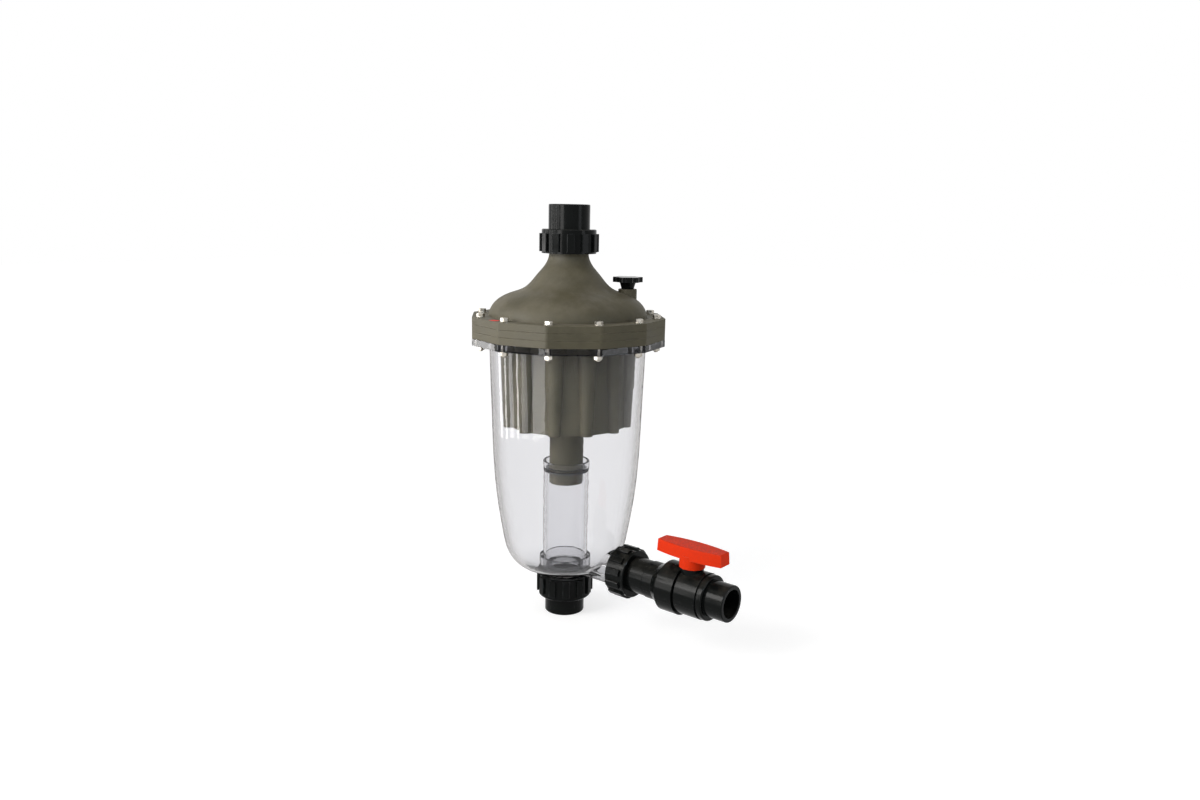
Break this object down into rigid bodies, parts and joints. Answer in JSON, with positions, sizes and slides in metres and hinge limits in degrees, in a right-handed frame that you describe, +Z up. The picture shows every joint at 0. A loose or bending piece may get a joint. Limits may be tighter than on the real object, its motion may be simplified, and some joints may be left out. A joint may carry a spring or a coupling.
{
  "type": "centrifugal filter",
  "caption": "Multi-cyclone water filter: clear bowl under a domed lid, ring of small cyclones, unions top and bottom, ball valve drain and bleed valve.",
  "frame": {"origin": "centre of the inlet socket's mouth, at the foot of the filter", "axes": "+Z up along the vessel's axis, +X along the drain valve"},
  "size_m": [0.5617, 0.3634, 0.7804],
  "materials": {
    "lid_plastic": "matte, moulded",
    "clear_plastic": "clear, moulded",
    "black_plastic": "satin gloss, moulded",
    "seal_rubber": "matte",
    "seat_plastic": "smooth white",
    "handle_plastic": "moulded",
    "bolt_steel": "plain bright"
  },
  "bodies": {
    "vessel": {"lid_dome": "lid_plastic", "vortex_finder_plate": "lid_plastic", "cyclone_pack": "lid_plastic", "riser_pipe": "lid_plastic", "bowl": "clear_plastic", "standpipe": "clear_plastic", "standpipe_collar": "clear_plastic", "inlet_tail": "black_plastic", "outlet_tail": "black_plastic", "drain_tail": "black_plastic", "drain_nipple": "black_plastic", "valve_body": "black_plastic", "valve_end": "black_plastic", "riser_seal_ring": "seal_rubber", "bowl_o_ring": "seal_rubber", "plate_o_ring": "seal_rubber", "lid_o_ring": "seal_rubber", "inlet_o_ring": "seal_rubber", "outlet_o_ring": "seal_rubber", "drain_o_ring": "seal_rubber", "valve_seats": "seat_plastic", "flange_bolts": "bolt_steel", "flange_washers": "bolt_steel", "flange_nuts": "bolt_steel"},
    "handle": {"valve_handle": "handle_plastic", "valve_stem": "black_plastic", "stem_o_ring": "seal_rubber", "valve_ball": "black_plastic"},
    "outlet_nut": {"outlet_union_nut": "black_plastic"},
    "inlet_nut": {"inlet_union_nut": "black_plastic"},
    "drain_nut": {"drain_union_nut": "black_plastic"},
    "bleed_ring": {"bleed_o_ring": "seal_rubber"},
    "bleed_valve": {"bleed_knob": "black_plastic", "bleed_screw": "black_plastic"}
  },
  "joints": [
    {"name": "valve_turn", "type": "hinge", "parent": "vessel", "child": "handle", "pos_m": [0.297, 0, 0.1165], "axis": [0, 0, -1], "range_deg": [0, 90]},
    {"name": "outlet_nut_turn", "type": "hinge", "parent": "vessel", "child": "outlet_nut", "pos_m": [0, 0, 0.7229], "axis": [0, 0, 1], "range_deg": [0, 2520]},
    {"name": "inlet_nut_turn", "type": "hinge", "parent": "vessel", "child": "inlet_nut", "pos_m": [0, 0, 0.046], "axis": [0, 0, -1], "range_deg": [0, 2520]},
    {"name": "drain_nut_turn", "type": "hinge", "parent": "vessel", "child": "drain_nut", "pos_m": [0.165, 0, 0.1165], "axis": [1, 0, 0], "range_deg": [0, 2520]},
    {"name": "bleed_rise", "type": "slide", "parent": "vessel", "child": "bleed_ring", "axis": [0, 0, 1], "range_m": [0, 0.003]},
    {"name": "bleed_turn", "type": "hinge", "parent": "bleed_ring", "child": "bleed_valve", "pos_m": [0.07778, 0.07778, 0.6284], "axis": [0, 0, 1], "range_deg": [0, 540]}
  ],
  "couplings": [
    {"joint": "bleed_rise", "follows": "bleed_turn", "m_per_rad": 0.000318}
  ]
}
